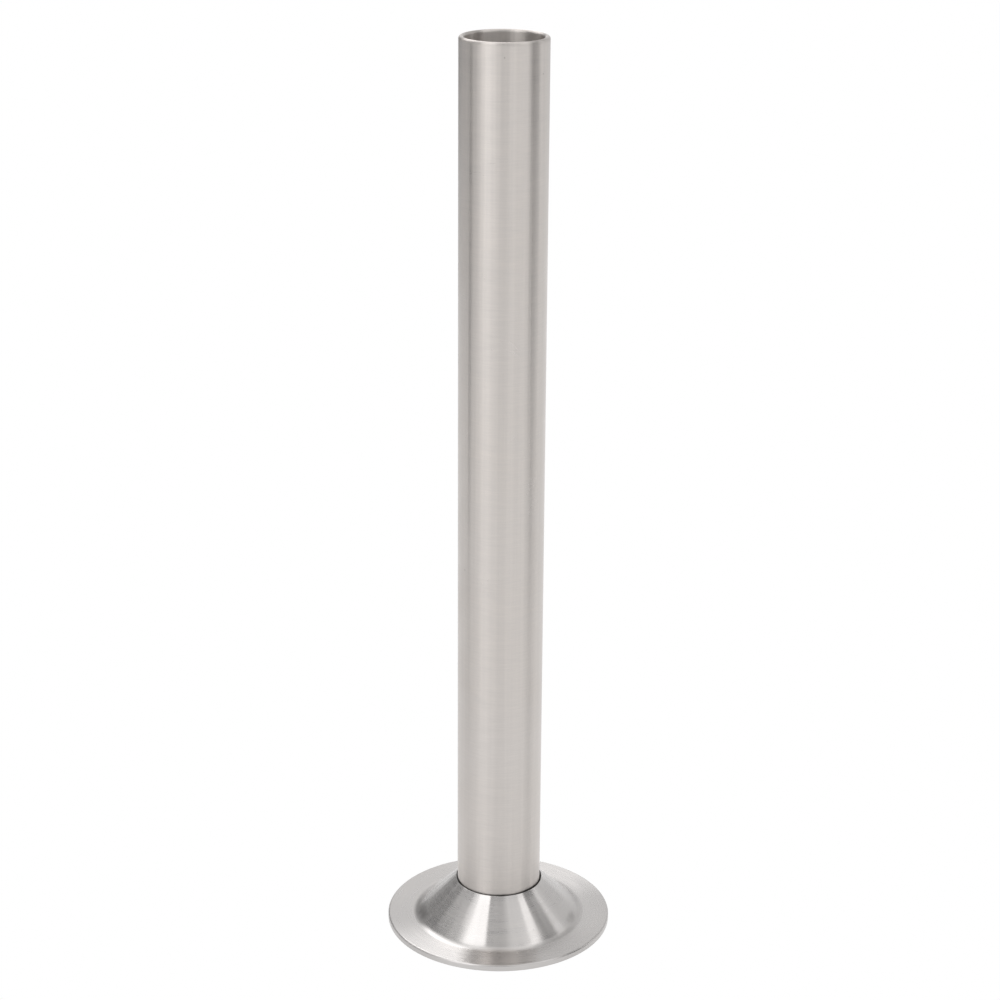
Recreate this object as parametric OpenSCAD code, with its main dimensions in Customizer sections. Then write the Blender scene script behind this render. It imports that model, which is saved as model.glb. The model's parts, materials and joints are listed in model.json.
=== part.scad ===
// Sausage stuffing tube: a straight steel tube welded into the neck of a pressed funnel flange.
// Millimetres. The flange's underside lies on z = 0, and the tube's axis is the z axis.

/* [Tube] */
// Outside diameter of the tube
tube_d = 20; // [12:0.5:30]
// Wall thickness of the tube
tube_wall = 1.2; // [0.8:0.1:2]
// Height of the mouth above the flange's underside
mouth_h = 215; // [80:0.5:400]

/* [Flange] */
// Outside diameter of the flange
flange_d = 54; // [45:0.5:90]
// Width of the ring outside the foot of the cone
ring_w = 7; // [5:0.5:9]
// Thickness of the sheet that the flange is pressed from
sheet_t = 1.5; // [1:0.1:2.5]
// Height of the neck's upper edge above the underside
neck_h = 11; // [8:0.1:20]
// Radius of the bend between the ring and the cone, on the upper side
bend_r = 2.5; // [1:0.1:4]
// Radius on the upper edge of the rim
rim_r = 0.4; // [0.2:0.1:0.6]
// Radius on the lower edge of the rim
rim_break = 0.2; // [0.1:0.05:0.3]

/* [Joint] */
// Gap between the tube and the neck, all round
neck_gap = 0.25; // [0.1:0.05:0.5]
// Radius of the weld bead under the neck
bead_r = 1.5; // [1:0.1:2]
// How far the tube's lower end stands below the bead
tube_tail = 0.2; // [0.1:0.1:1]

/* [Hidden] */
$fn = 180;

tube_r = tube_d / 2;
bore_r = tube_r - tube_wall;
rim_outer_r = flange_d / 2;
foot_r = rim_outer_r - ring_w;
neck_r = tube_r + neck_gap;

// The cone's upper side runs from the neck's edge down to the ring's upper side
cone_a = atan2(neck_h - sheet_t, foot_r - neck_r);
// Height of the neck's lower edge, where the cone's lower side meets the hole
neck_low = neck_h - sheet_t / cos(cone_a);
// Height at which the cone's lower side, carried on inwards, meets the tube
root_h = neck_low + neck_gap * tan(cone_a);
tube_low = root_h - bead_r - tube_tail;
// Centre of the bend, shared by the sheet's two sides
bend_c = [foot_r + bend_r * tan(cone_a / 2), sheet_t + bend_r];

// Points on an arc of radius r about c, from angle a0 to angle a1, in steps of about 4 degrees
function arc(c, r, a0, a1) =
    let (steps = ceil(abs(a1 - a0) / 4))
    [for (i = [0 : steps]) let (a = a0 + (a1 - a0) * i / steps) c + r * [cos(a), sin(a)]];

// Straight tube with a square lower end and a fully rounded mouth
module tube() {
    color("silver") rotate_extrude() {
        translate([bore_r, tube_low]) square([tube_wall, mouth_h - tube_wall / 2 - tube_low]);
        translate([bore_r + tube_wall / 2, mouth_h - tube_wall / 2]) circle(d = tube_wall);
    }
}

// Flat ring and funnel cone of one sheet, with a plain hole for the tube
module flange() {
    color("gainsboro") rotate_extrude() polygon(concat(
        [[neck_r, neck_low], [neck_r, neck_h]],
        arc(bend_c, bend_r, -90 - cone_a, -90),
        arc([rim_outer_r - rim_r, sheet_t - rim_r], rim_r, 90, 0),
        arc([rim_outer_r - rim_break, rim_break], rim_break, 0, -90),
        arc(bend_c, bend_r + sheet_t, -90, -90 - cone_a)
    ));
}

// Fillet weld in the corner between the tube and the cone's lower side
module weld_bead() {
    // The corner's two sides run on past the bead, which the circle then cuts round
    side = 2 * bead_r;
    color("darkgray") rotate_extrude() translate([tube_r, root_h]) intersection() {
        circle(r = bead_r);
        polygon([[0, 0], [0, -side], [side * cos(cone_a), -side * sin(cone_a)]]);
    }
}

tube();
flange();
weld_bead();
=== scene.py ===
"""Sausage stuffing tube: a satin steel tube welded into the neck of a pressed funnel flange.

Every piece is turned about the z axis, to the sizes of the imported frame. Lengths are in metres.
"""

import json
import math

import bpy
import numpy as np
from mathutils import Matrix, Vector


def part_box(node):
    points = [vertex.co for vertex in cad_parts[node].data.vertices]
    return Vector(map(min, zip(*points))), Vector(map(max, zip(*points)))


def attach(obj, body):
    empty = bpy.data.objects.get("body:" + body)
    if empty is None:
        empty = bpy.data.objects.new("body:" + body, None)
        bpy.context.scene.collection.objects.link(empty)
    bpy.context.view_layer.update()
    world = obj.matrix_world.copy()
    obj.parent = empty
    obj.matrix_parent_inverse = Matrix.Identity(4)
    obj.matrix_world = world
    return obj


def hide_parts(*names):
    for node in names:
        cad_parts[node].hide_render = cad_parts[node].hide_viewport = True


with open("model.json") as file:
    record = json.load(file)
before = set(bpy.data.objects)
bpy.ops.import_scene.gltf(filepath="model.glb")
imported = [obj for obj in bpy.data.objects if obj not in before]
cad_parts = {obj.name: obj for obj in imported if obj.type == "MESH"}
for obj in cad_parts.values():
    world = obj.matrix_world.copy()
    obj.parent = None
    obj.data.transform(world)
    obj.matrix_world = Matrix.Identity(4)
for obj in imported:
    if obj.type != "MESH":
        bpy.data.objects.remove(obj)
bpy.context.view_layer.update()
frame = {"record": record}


# --- Camera -----------------------------------------------------------------------------------
# A short telephoto stands half a metre in front of the tube, a little above its mouth, and looks
# down at it. It is rolled a fraction of a degree, so the tube stands a little aslant in its view.
cam_place = Vector((0.0, -0.5207, 0.2955))
cam_down = math.radians(19.765)
cam_roll = math.radians(0.393)
cam_turn = math.radians(0.03)
cam_lens = 86.24

camera = bpy.data.objects.new("camera", bpy.data.cameras.new("camera"))
camera.data.lens = cam_lens
camera.data.sensor_width = 36.0
camera.data.clip_start, camera.data.clip_end = 0.01, 50.0
camera.matrix_world = (
    Matrix.Translation(cam_place)
    @ Matrix.Rotation(cam_turn, 4, "Z")
    @ Matrix.Rotation(math.pi / 2 - cam_down, 4, "X")
    @ Matrix.Rotation(cam_roll, 4, "Z")
)
bpy.context.scene.collection.objects.link(camera)
bpy.context.scene.camera = camera


# --- Tube -------------------------------------------------------------------------------------
# Seamless stainless tube, cut square, its mouth rounded over and its wall belt-polished while it
# turns, so that the polishing lines run round it. The lower end sits in the flange's neck.
MM = 0.001
mounts = {m["name"]: m for m in frame["record"]["mounts"]}


def arc(centre, radius, start, end, steps):
    """Points on a circle about centre, from the angle start to the angle end, in degrees."""
    a = np.radians(np.linspace(start, end, steps + 1))
    return np.column_stack([centre[0] + radius * np.cos(a), centre[1] + radius * np.sin(a)])


def straight(a, b, edge=0.1 * MM, middle=1):
    """Points strictly between a and b: one close to each end, so that the smooth shading of a
    rounded corner stops there, and the rest evenly spaced."""
    a, b = np.asarray(a, float), np.asarray(b, float)
    near = min(edge / np.linalg.norm(b - a), 0.3)
    t = np.linspace(near, 1 - near, middle + 1)
    return a + np.outer(t, b - a)


facets = 360
turn = 2 * np.pi * np.arange(facets) / facets


def turned(name, outline, swell=0.0):
    """A ring-shaped solid from a closed outline of (radius, height) points, anticlockwise when the
    radius runs to the right, swept round z. Point (i, j) is outline point i turned by j steps, at
    its radius plus swell, which is a number or an array of that grid's shape.
    The UV map has u along the outline and v round the axis, both in metres."""
    outline = np.asarray(outline, float)
    rows = len(outline)
    xyz = np.empty((rows, facets, 3))
    radius = outline[:, :1] + swell
    xyz[..., 0] = radius * np.cos(turn)
    xyz[..., 1] = radius * np.sin(turn)
    xyz[..., 2] = outline[:, 1:]
    i, j = np.meshgrid(np.arange(rows), np.arange(facets), indexing="ij")
    i2, j2 = (i + 1) % rows, (j + 1) % facets
    quads = np.stack([i * facets + j, i * facets + j2, i2 * facets + j2, i2 * facets + j], -1)
    mesh = bpy.data.meshes.new(name)
    mesh.from_pydata(xyz.reshape(-1, 3).tolist(), [], quads.reshape(-1, 4).tolist())
    steps = np.linalg.norm(np.roll(outline, -1, 0) - outline, axis=1)
    along = np.concatenate([[0], np.cumsum(steps)])
    u = np.stack([along[i], along[i], along[i + 1], along[i + 1]], -1)
    v = np.stack([j, j + 1, j + 1, j], -1) * (2 * np.pi / facets) * outline[:, 0].mean()
    uv = mesh.uv_layers.new(name="UVMap")
    uv.data.foreach_set("uv", np.stack([u, v], -1).astype(np.float32).ravel())
    mesh.polygons.foreach_set("use_smooth", [True] * len(mesh.polygons))
    mesh.update()
    piece = bpy.data.objects.new(name, mesh)
    bpy.context.scene.collection.objects.link(piece)
    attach(piece, "root")
    return piece


tube_low, tube_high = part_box("tube")
tube_r = tube_high.x
bore_r = mounts["tube_bore"]["dims"]["r_mm"] * MM
lip_r = (tube_r - bore_r) / 2
end_break = 0.15 * MM

mouth = (tube_r - lip_r, tube_high.z - lip_r)
end = tube_low.z + end_break
outer_end = arc((tube_r - end_break, end), end_break, -90, 0, 4)
lip = arc(mouth, lip_r, 0, 180, 16)
inner_end = arc((bore_r + end_break, end), end_break, 180, 270, 4)
tube_outline = np.vstack([
    outer_end,
    straight(outer_end[-1], lip[0], middle=60),
    lip,
    straight(lip[-1], inner_end[0], middle=60),
    inner_end,
    straight(inner_end[-1], outer_end[0]),
])
tube = turned("tube_body", tube_outline)
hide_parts("tube")


class Finish:
    """Builds one metal finish. Fields of noise are laid out in the turning lathe's own directions:
    s = distance from the axis minus height, which runs along the tube, down the cone and out over
    the ring, and the unit vector (x, y) / r, which runs round them. up is the surface normal's
    height: 1 where the surface faces up, -1 where it faces down."""

    def __init__(self, name):
        self.mat = bpy.data.materials.new(name)
        self.mat.use_nodes = True
        self.nodes, self.links = self.mat.node_tree.nodes, self.mat.node_tree.links
        self.shader = self.nodes["Principled BSDF"]
        coords = self.nodes.new("ShaderNodeTexCoord").outputs
        self.place = coords["Object"]
        self.up = self.split(coords["Normal"])[2]
        x, y, z = self.split(self.place)
        flat = self.join(x, y, 0.0)
        self.radius = self.vector("LENGTH", flat, out="Value")
        self.ax, self.ay, _ = self.split(self.vector("NORMALIZE", flat))
        self.z = z
        self.s = self.math("SUBTRACT", self.radius, z)

    def feed(self, socket, value):
        """Links a socket's value in, or sets it when it is a plain number."""
        if hasattr(value, "is_output"):
            self.links.new(value, socket)
        else:
            socket.default_value = value

    def math(self, what, *values, clamp=False):
        """The output of a Math node that does this to the values."""
        node = self.nodes.new("ShaderNodeMath")
        node.operation, node.use_clamp = what, clamp
        for socket, value in zip(node.inputs, values):
            self.feed(socket, value)
        return node.outputs[0]

    def vector(self, what, value, out="Vector"):
        """The output of a Vector Math node that does this to one vector."""
        node = self.nodes.new("ShaderNodeVectorMath")
        node.operation = what
        self.feed(node.inputs[0], value)
        return node.outputs[out]

    def split(self, value):
        """The x, y and z of a vector or a colour."""
        node = self.nodes.new("ShaderNodeSeparateXYZ")
        self.feed(node.inputs[0], value)
        return node.outputs

    def join(self, x, y, z):
        """The vector (x, y, z)."""
        node = self.nodes.new("ShaderNodeCombineXYZ")
        for socket, value in zip(node.inputs, (x, y, z)):
            self.feed(socket, value)
        return node.outputs[0]

    def noise(self, along, around, detail=2.0, start=0.0):
        """Noise about 0, from -1 to 1, with so many cells in a metre along s and in a radian round
        the axis. start moves it to another part of the noise."""
        node = self.nodes.new("ShaderNodeTexNoise")
        node.inputs["Scale"].default_value = 1.0
        node.inputs["Detail"].default_value = detail
        u = self.math("MULTIPLY_ADD", self.s, along, start)
        v = self.math("MULTIPLY", self.ax, around)
        w = self.math("MULTIPLY", self.ay, around)
        self.links.new(self.join(u, v, w), node.inputs["Vector"])
        return self.math("MULTIPLY_ADD", node.outputs["Fac"], 2.0, -1.0)

    def cloud(self, cells, detail=2.0):
        """Noise about 0, the same in all directions, with so many cells in a metre."""
        node = self.nodes.new("ShaderNodeTexNoise")
        node.inputs["Scale"].default_value = cells
        node.inputs["Detail"].default_value = detail
        self.links.new(self.place, node.inputs["Vector"])
        return self.math("MULTIPLY_ADD", node.outputs["Fac"], 2.0, -1.0)

    def fade(self, value, low, high):
        """1 where value is under low, 0 where it is over high, and a smooth step between."""
        node = self.nodes.new("ShaderNodeMapRange")
        node.interpolation_type = "SMOOTHSTEP"
        for socket, number in zip(node.inputs[1:5], (low, high, 1.0, 0.0)):
            socket.default_value = number
        self.feed(node.inputs["Value"], value)
        return node.outputs["Result"]

    def mix(self, part, a, b):
        """Colour a turned to colour b by part, where each colour is a socket or three numbers. The
        node's inputs 6 and 7 are its two colours, and its output 2 is the mixed one."""
        node = self.nodes.new("ShaderNodeMix")
        node.data_type = "RGBA"
        self.feed(node.inputs[0], part)
        for socket, colour in zip(node.inputs[6:8], (a, b)):
            self.feed(socket, colour if hasattr(colour, "is_output") else (*colour, 1.0))
        return node.outputs[2]

    def total(self, first, *pairs):
        """first plus each value times its weight."""
        for value, weight in pairs:
            first = self.math("MULTIPLY_ADD", value, weight, first)
        return first


def everywhere(f):
    """A field of a finish that is 1 all over."""
    return 1.0


def nowhere(f):
    """A field of a finish that is 0 all over."""
    return 0.0


def belt_steel(name, colour, rough, line, wave, waves, stains_and_shade=nowhere, matt=nowhere, drawn=everywhere):
    """Stainless steel with belt or turning lines round the axis, draw lines along it, cloudy
    handling marks, a few pits and hairlines, and dark stains and painted shade. line is the depth
    of the turning lines and wave that of the draw lines, of which waves go to a radian. The three
    field arguments each make a 0 to 1 field from the finish: the first where it is stained or where
    shade is painted dark, matt where the polish is worn or was never given, and drawn where the draw
    lines are."""
    f = Finish(name)

    # Marks, each a field of the surface
    lines = f.noise(4200, 2.5)
    belts = f.noise(520, 1.2, start=7.0)
    draws = f.math("MULTIPLY", f.noise(14, waves, detail=1.0, start=3.0), drawn(f))
    marks = f.cloud(90)
    tint = f.cloud(28, detail=1.0)
    pits = f.nodes.new("ShaderNodeTexVoronoi")
    pits.inputs["Scale"].default_value = 240.0
    f.links.new(f.place, pits.inputs["Vector"])
    pit = f.fade(pits.outputs["Distance"], 0.03, 0.055)
    few = f.fade(f.split(pits.outputs["Color"])[0], 0.06, 0.07)
    pit = f.math("MULTIPLY", pit, few)
    hair = f.fade(f.math("ABSOLUTE", f.noise(300, 1.6, detail=0.0, start=11.0)), 0.002, 0.012)
    hair = f.math("MULTIPLY", hair, f.fade(marks, -0.35, -0.1))
    # The first field is stains, and shade painted dark into crevices and creases
    stain_and_shade_field = stains_and_shade(f)
    plain = matt(f)

    # Colour: dull to bright along the lines, warmer in places, then pits, stains and painted shade over it
    tone = f.total(0.5, (lines, 0.5), (belts, 0.35), (draws, 0.35), (marks, 0.3))
    dull = tuple(0.93 * c for c in colour)
    bright = tuple(min(1.07 * c, 1.0) for c in colour)
    warm = (bright[0], 0.985 * bright[1], 0.965 * bright[2])
    shade = f.mix(tone, dull, f.mix(f.total(0.5, (tint, 0.9)), bright, warm))
    shade = f.mix(f.math("MULTIPLY", pit, 0.25), shade, (0.12, 0.11, 0.1))
    # Near black where the steel is stained and where shade is painted
    shade = f.mix(stain_and_shade_field, shade, (0.03, 0.027, 0.025))
    f.links.new(shade, f.shader.inputs["Base Color"])

    # Gloss
    grain = f.total(rough, (lines, 0.05), (belts, 0.04), (marks, 0.06), (hair, -0.08), (pit, 0.2))
    grain = f.total(grain, (plain, 0.25))
    f.links.new(f.math("MULTIPLY_ADD", stain_and_shade_field, 0.4, grain, clamp=True), f.shader.inputs["Roughness"])

    # Relief, in metres
    height = f.total(0.0, (lines, line), (belts, 2.0 * line), (draws, wave))
    height = f.total(height, (pit, -0.01 * MM), (hair, -0.002 * MM))
    bump = f.nodes.new("ShaderNodeBump")
    bump.inputs["Distance"].default_value = 1.0
    bump.inputs["Strength"].default_value = 1.0
    f.links.new(height, bump.inputs["Height"])
    f.links.new(bump.outputs[0], f.shader.inputs["Normal"])

    # The lines run round the axis, so they draw each highlight out across them, along the outline
    tangent = f.nodes.new("ShaderNodeTangent")
    tangent.direction_type = "UV_MAP"
    tangent.uv_map = "UVMap"
    f.links.new(tangent.outputs["Tangent"], f.shader.inputs["Tangent"])
    f.shader.inputs["Metallic"].default_value = 1.0
    f.shader.inputs["Anisotropic"].default_value = 0.9
    return f.mat


neck_top_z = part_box("flange")[1].z
bead_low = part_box("weld_bead")[0]


def neck_painted_shade(f):
    """Painted shade in the crevice at the neck: black on the outer wall between the weld and the
    neck's edge, and ragged just above the edge."""
    level = f.total(f.z, (f.noise(400, 2.2, start=21.0), 0.5 * MM))
    under_edge = f.fade(level, neck_top_z - 0.3 * MM, neck_top_z + 0.25 * MM)
    depth = f.math("MULTIPLY", f.z, -1.0)
    over_weld = f.fade(depth, -bead_low.z - 2.0 * MM, -bead_low.z - 1.0 * MM)
    inward = f.math("MULTIPLY", f.radius, -1.0)
    outside = f.fade(inward, -tube_r + 0.1 * MM, -tube_r + 0.3 * MM)
    darkened = f.math("MULTIPLY", f.math("MULTIPLY", under_edge, over_weld), outside)
    return f.math("MULTIPLY", darkened, 0.88)


def bore_and_lip(f):
    """The bore is as drawn, never polished, and the lip is worn dull by handling."""
    bore = f.fade(f.radius, bore_r + 0.1 * MM, bore_r + 0.3 * MM)
    lip_top = f.fade(f.math("MULTIPLY", f.z, -1.0), -tube_high.z + 0.6 * MM, -tube_high.z + 1.2 * MM)
    return f.math("MAXIMUM", f.math("MULTIPLY", bore, 0.3), f.math("MULTIPLY", lip_top, 0.35))


# The tube is painted dark in the crevice at the neck, as shade
tube_steel = belt_steel(
    "belt_polished_tube", (0.635, 0.6, 0.575), rough=0.35, line=0.002 * MM, wave=0.01 * MM, waves=12,
    stains_and_shade=neck_painted_shade, matt=bore_and_lip)
tube.data.materials.append(tube_steel)


# --- Flange -----------------------------------------------------------------------------------
# One stainless sheet, pressed into a flat clamping ring and a funnel cone, then skimmed in a lathe.
# A plain hole in its neck takes the tube.
ring_w = 7.0 * MM
bend_r = 2.5 * MM
rim_r = 0.4 * MM
rim_break = 0.2 * MM
neck_gap = 0.25 * MM
neck_edge = 0.12 * MM

flange_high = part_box("flange")[1]
rim_outer_r = flange_high.x
neck_h = flange_high.z
sheet_t = mounts["clamp_ring_face"]["pos_m"][2]
neck_r = tube_r + neck_gap
foot_r = rim_outer_r - ring_w
cone_a = math.atan2(neck_h - sheet_t, foot_r - neck_r)
cone_deg = math.degrees(cone_a)
neck_low = neck_h - sheet_t / math.cos(cone_a)
bend_c = (foot_r + bend_r * math.tan(cone_a / 2), sheet_t + bend_r)

under_bend = arc(bend_c, bend_r + sheet_t, -90 - cone_deg, -90, 16)
rim_low = arc((rim_outer_r - rim_break, rim_break), rim_break, -90, 0, 6)
rim_top = arc((rim_outer_r - rim_r, sheet_t - rim_r), rim_r, 0, 90, 12)
top_bend = arc(bend_c, bend_r, -90, -90 - cone_deg, 16)
# The neck's sharp upper corner is broken by a small round between the cone and the hole
edge_back = neck_edge / math.tan((math.pi / 2 - cone_a) / 2)
edge_c = (neck_r + neck_edge, neck_h - edge_back)
neck_top = arc(edge_c, neck_edge, 90 - cone_deg, 180, 8)
neck_foot = (neck_r, neck_low)
flange_outline = np.vstack([
    [neck_foot],
    straight(neck_foot, under_bend[0], middle=4),
    under_bend,
    straight(under_bend[-1], rim_low[0], middle=3),
    rim_low,
    straight(rim_low[-1], rim_top[0]),
    rim_top,
    straight(rim_top[-1], top_bend[0], middle=4),
    top_bend,
    straight(top_bend[-1], neck_top[0], middle=6),
    neck_top,
    straight(neck_top[-1], neck_foot),
])


def ease(v):
    """0 below 0, 1 above 1, and a smooth step between."""
    v = np.clip(v, 0, 1)
    return v * v * (3 - 2 * v)


# The hole was punched a hair off centre, so the crevice round the tube is uneven. The whole drift is
# at the hole's wall and its edge, and none is left where the cone has run out by cone_run.
hole_drift = 0.12 * MM
hole_turn = math.radians(-40)
cone_run = 0.5 * MM
at_hole = ease((neck_r + cone_run - flange_outline[:, :1]) / (cone_run - neck_edge))
flange = turned(
    "flange_body", flange_outline, swell=at_hole * hole_drift * np.cos(turn - hole_turn))
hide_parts("flange")


# The stains lie along the bend: turn in degrees, width over length, half width and strength
stain_r = 0.94 * foot_r
stains = [(190, 0.3, 1.9 * MM, 0.45), (341, 0.5, 1.7 * MM, 0.22)]


def hole_shade_and_stains(f):
    """Painted shade on the hole's wall and on its edge, a trace of painted shade in the bend round
    the ring, and two stains in the bend's upper side, where drops dried."""
    ragged = f.total(f.radius, (f.noise(400, 2.2, start=5.0), 0.3 * MM))
    hole = f.fade(ragged, neck_r, neck_r + 0.22 * MM)
    crease = f.fade(f.math("ABSOLUTE", f.math("SUBTRACT", f.radius, foot_r)), 0.0, 1.2 * MM)
    # Shade is painted dark on the hole's wall and edge, and faintly in the crease of the bend
    darkened = f.math("MAXIMUM", f.math("MULTIPLY", hole, 0.88), f.math("MULTIPLY", crease, 0.05))
    x, y, _ = f.split(f.place)
    blotch = f.cloud(420)
    upper = f.math("GREATER_THAN", f.up, 0.0)
    out = f.math("SUBTRACT", f.radius, stain_r)
    for stain_turn, narrow, reach, strength in stains:
        t = math.radians(stain_turn)
        along_x = f.total(-narrow * stain_r * math.cos(t), (x, narrow))
        along_y = f.total(-narrow * stain_r * math.sin(t), (y, narrow))
        off = f.vector("LENGTH", f.join(out, along_x, along_y), out="Value")
        stain = f.math("MULTIPLY", f.fade(f.total(off, (blotch, 1.2 * MM)), 0.0, reach), upper)
        darkened = f.math("MAXIMUM", darkened, f.math("MULTIPLY", stain, strength))
    return darkened


def cone_only(f):
    """The punch drew the metal down the cone, so its draw lines end at the bend."""
    return f.fade(f.radius, foot_r - 1.5 * MM, foot_r)


def worn_rim(f):
    """The rim is dulled by the ring nut that grips it, and the underside is as pressed."""
    inward = f.math("MULTIPLY", f.radius, -1.0)
    rim = f.fade(inward, -rim_outer_r + 0.1 * MM, -rim_outer_r + 0.6 * MM)
    under = f.fade(f.z, 0.1 * MM, 0.4 * MM)
    return f.math("MAXIMUM", f.math("MULTIPLY", rim, 0.3), under)


# The flange is painted dark as shade at the hole and in the bend, and carries two stains
flange_steel = belt_steel(
    "lathe_turned_flange", (0.595, 0.578, 0.57), rough=0.28, line=0.0006 * MM, wave=0.13 * MM, waves=4,
    stains_and_shade=hole_shade_and_stains, matt=worn_rim, drawn=cone_only)
flange.data.materials.append(flange_steel)


# --- Weld bead --------------------------------------------------------------------------------
# A fillet of stainless filler metal, laid by hand round the corner between the tube and the cone's
# lower side. It alone holds the tube in the flange, and it was brushed clean and left heat tinted.
root = (tube_r, neck_low + neck_gap * math.tan(cone_a))
bead_r = root[1] - bead_low.z
bead_face = arc(root, bead_r, -90, -cone_deg, 12)
bead_outline = np.vstack([
    [root],
    straight(root, bead_face[0]),
    bead_face,
    straight(bead_face[-1], root),
])
# The bead was laid in short overlapping pools, which leave ripples round it. free is 0 at the tube
# and 0.63 at the cone, so the ripples are deepest, about 0.13 mm, along the bead's outer edge.
ripples = 52
ripple = 0.2 * MM
free = ease((bead_outline[:, :1] - root[0]) / bead_r) * ease((root[1] - bead_outline[:, 1:]) / bead_r)
pool = np.abs(np.sin(turn * ripples / 2 + 0.6 * np.sin(3 * turn)))
weld = turned("weld_ring", bead_outline, swell=-ripple * free * (1 - pool))
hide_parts("weld_bead")

weld_steel = belt_steel(
    "heat_tinted_weld", (0.42, 0.36, 0.31), rough=0.42, line=0.003 * MM, wave=0.01 * MM, waves=20)
weld.data.materials.append(weld_steel)


# --- Floor and light --------------------------------------------------------------------------
# A plain white floor under a round tent of white cloth. Soft boxes and dark flags hang round the
# tent, so the polished steel has bright and dark stripes to mirror.
def glow(name, strength):
    """A material that only gives light, and the socket that sets how much."""
    mat = bpy.data.materials.new(name)
    mat.use_nodes = True
    nodes, links = mat.node_tree.nodes, mat.node_tree.links
    nodes.clear()
    out = nodes.new("ShaderNodeOutputMaterial")
    emit = nodes.new("ShaderNodeEmission")
    emit.inputs["Strength"].default_value = strength
    links.new(emit.outputs[0], out.inputs["Surface"])
    mat.cycles.emission_sampling = "NONE"
    return mat, emit.inputs["Strength"]


# The floor lies a hair under the flange, so that the two faces don't flicker
floor_mesh = bpy.data.meshes.new("floor")
half = 6.0
floor_z = -0.2 * MM
floor_mesh.from_pydata(
    [(-half, -half, floor_z), (half, -half, floor_z), (half, half, floor_z), (-half, half, floor_z)],
    [], [(0, 1, 2, 3)])
floor = bpy.data.objects.new("floor", floor_mesh)
floor.data.materials.append(glow("floor_white", 1.0)[0])
bpy.context.scene.collection.objects.link(floor)

# The tent is a dome round a point 0.1 m above the floor. Angles are in degrees: turn runs from +X
# towards +Y, so 270 is the camera's side, and rise is measured up from level.
# The cloth glows evenly, and brightens into a roof that is brightest towards the back.
tent_r = 0.9
tent_z = 0.1
turn_deg, rise_deg = np.meshgrid(np.arange(0, 360, 2.0), np.arange(-14, 90, 2.0))
cloth = 0.84
roof_rise = 62
roof = 1.3 + 0.5 * np.cos(np.radians(turn_deg - 110)) * np.cos(np.radians(rise_deg))
light = cloth + (roof - cloth) * ease((rise_deg - roof_rise + 12) / 24)


def hang(light, middle, width, low, high, soft_side, soft_end, bright):
    """The light after a panel hangs over it: light + (bright - light) * cover. The cover is 1 on the
    panel, which has its middle and width in turn and its low and high edges in rise, and it fades to
    0 over soft_side and soft_end degrees."""
    off = np.abs((turn_deg - middle + 180) % 360 - 180)
    cover = ease((width / 2 - off) / soft_side + 0.5)
    cover = cover * ease((rise_deg - low) / soft_end + 0.5) * ease((high - rise_deg) / soft_end + 0.5)
    return light + (bright - light) * cover


# A low edge at ground is under the tent's own edge, so the panel reaches right down
ground = -30
light = hang(light, 139, 102, ground, 34, 17, 7, 0.28)  # dark room behind, on the left
light = hang(light, 196, 10, ground, 53, 8, 9, 0.35)  # narrow flag on the left
light = hang(light, 241, 36, ground, 32, 19, 15, 1.36)  # white board under the key light
light = hang(light, 227, 40, 25, 60, 4, 16, 2.15)  # key light, front left
light = hang(light, 267, 46, 41, 60, 9, 12, 0.1)  # dark canopy over the camera
light = hang(light, 258, 50, ground, 11, 17, 12, 0.72)  # grey behind the camera
light = hang(light, 292, 10, ground, 39, 13, 14, 1.05)  # white strip, front right
light = hang(light, 340, 22, 40, 59, 7, 10, 2.3)  # second light, right
light = hang(light, 355, 32, ground, 39, 16, 20, 0.18)  # flag under the second light
light = hang(light, 97, 8, ground, 58, 29, 13, 1.65)  # white strip behind
light = hang(light, 45, 66, ground, 22, 9, 13, 0.72)  # grey wall behind, on the right
light = hang(light, 50, 48, 30, 58, 12, 12, 0.45)  # flag over that wall
light = hang(light, 18, 9, 18, 44, 6, 8, 1.9)  # narrow lamp in front of it
light = hang(light, 118, 56, 34, 57, 12, 12, 2.7)  # third light, high behind on the left

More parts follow.
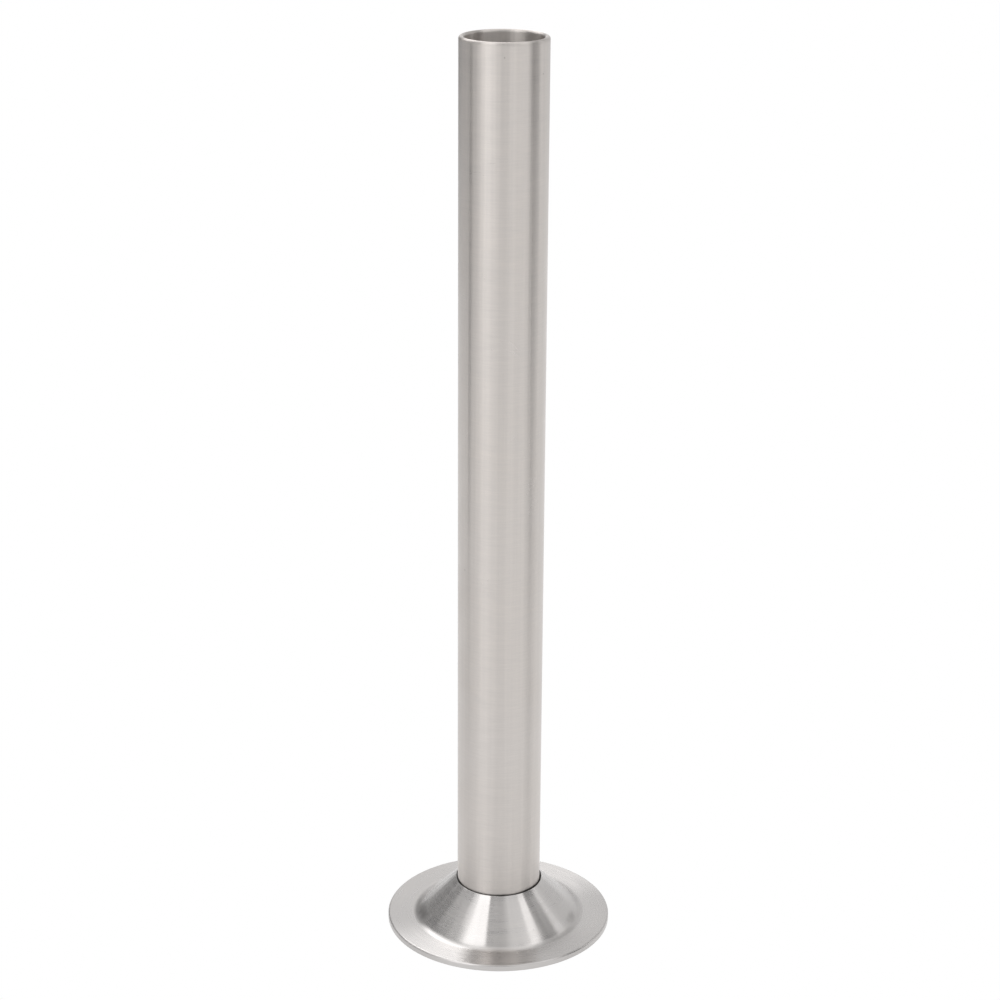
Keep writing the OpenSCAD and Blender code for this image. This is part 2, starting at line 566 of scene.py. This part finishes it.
# Point (i, j) of the dome lies at tent_r from its centre, at the rise of row i and the turn of
# column j, and holds its light as an attribute
a, e = np.radians(turn_deg), np.radians(rise_deg)
tent_xyz = np.stack([np.cos(e) * np.cos(a), np.cos(e) * np.sin(a), np.sin(e)], -1) * tent_r
tent_xyz[..., 2] += tent_z
rings, spokes = turn_deg.shape
i, j = np.meshgrid(np.arange(rings - 1), np.arange(spokes), indexing="ij")
j2 = (j + 1) % spokes
tent_quads = np.stack([i * spokes + j, (i + 1) * spokes + j, (i + 1) * spokes + j2, i * spokes + j2], -1)
tent_top = [(rings - 1) * spokes + k for k in range(spokes)][::-1]
tent_mesh = bpy.data.meshes.new("light_tent")
tent_mesh.from_pydata(tent_xyz.reshape(-1, 3).tolist(), [], tent_quads.reshape(-1, 4).tolist() + [tent_top])
tent_light = tent_mesh.attributes.new("light", "FLOAT", "POINT")
tent_light.data.foreach_set("value", light.astype(np.float32).ravel())
tent = bpy.data.objects.new("light_tent", tent_mesh)
bpy.context.scene.collection.objects.link(tent)
tent_cloth, tent_strength = glow("tent_cloth", 1.0)
tent_value = tent_cloth.node_tree.nodes.new("ShaderNodeAttribute")
tent_value.attribute_name = "light"
tent_cloth.node_tree.links.new(tent_value.outputs["Fac"], tent_strength)
tent_mesh.materials.append(tent_cloth)
tent.visible_camera = False

# Two narrow dark cards stand near the steel, outside the camera's view, and draw the thin dark
# stripes that run down the tube on both sides.
def dark_card(name, middle, distance, width, height, bright):
    """An upright card, square to the line from the axis to its middle, which is at that turn in
    degrees and at that distance."""
    across = np.array([-width / 2, width / 2, width / 2, -width / 2])
    up = np.array([0.0, 0.0, height, height])
    t = math.radians(middle)
    x = distance * math.cos(t) - across * math.sin(t)
    y = distance * math.sin(t) + across * math.cos(t)
    xyz = np.column_stack([x, y, up])
    mesh = bpy.data.meshes.new(name)
    mesh.from_pydata(xyz.tolist(), [], [(0, 1, 2, 3)])
    mesh.materials.append(glow(name + "_cloth", bright)[0])
    card = bpy.data.objects.new(name, mesh)
    bpy.context.scene.collection.objects.link(card)
    card.visible_camera = False


dark_card("card_left", 178, 0.35, 0.035, 0.4, 0.12)
dark_card("card_right", 351, 0.4, 0.04, 0.45, 0.15)

world = bpy.data.worlds.new("studio")
bpy.context.scene.world = world
world.use_nodes = True
world.node_tree.nodes["Background"].inputs["Color"].default_value = (1, 1, 1, 1)
world.node_tree.nodes["Background"].inputs["Strength"].default_value = 1.0
bpy.context.scene.view_settings.view_transform = "Standard"
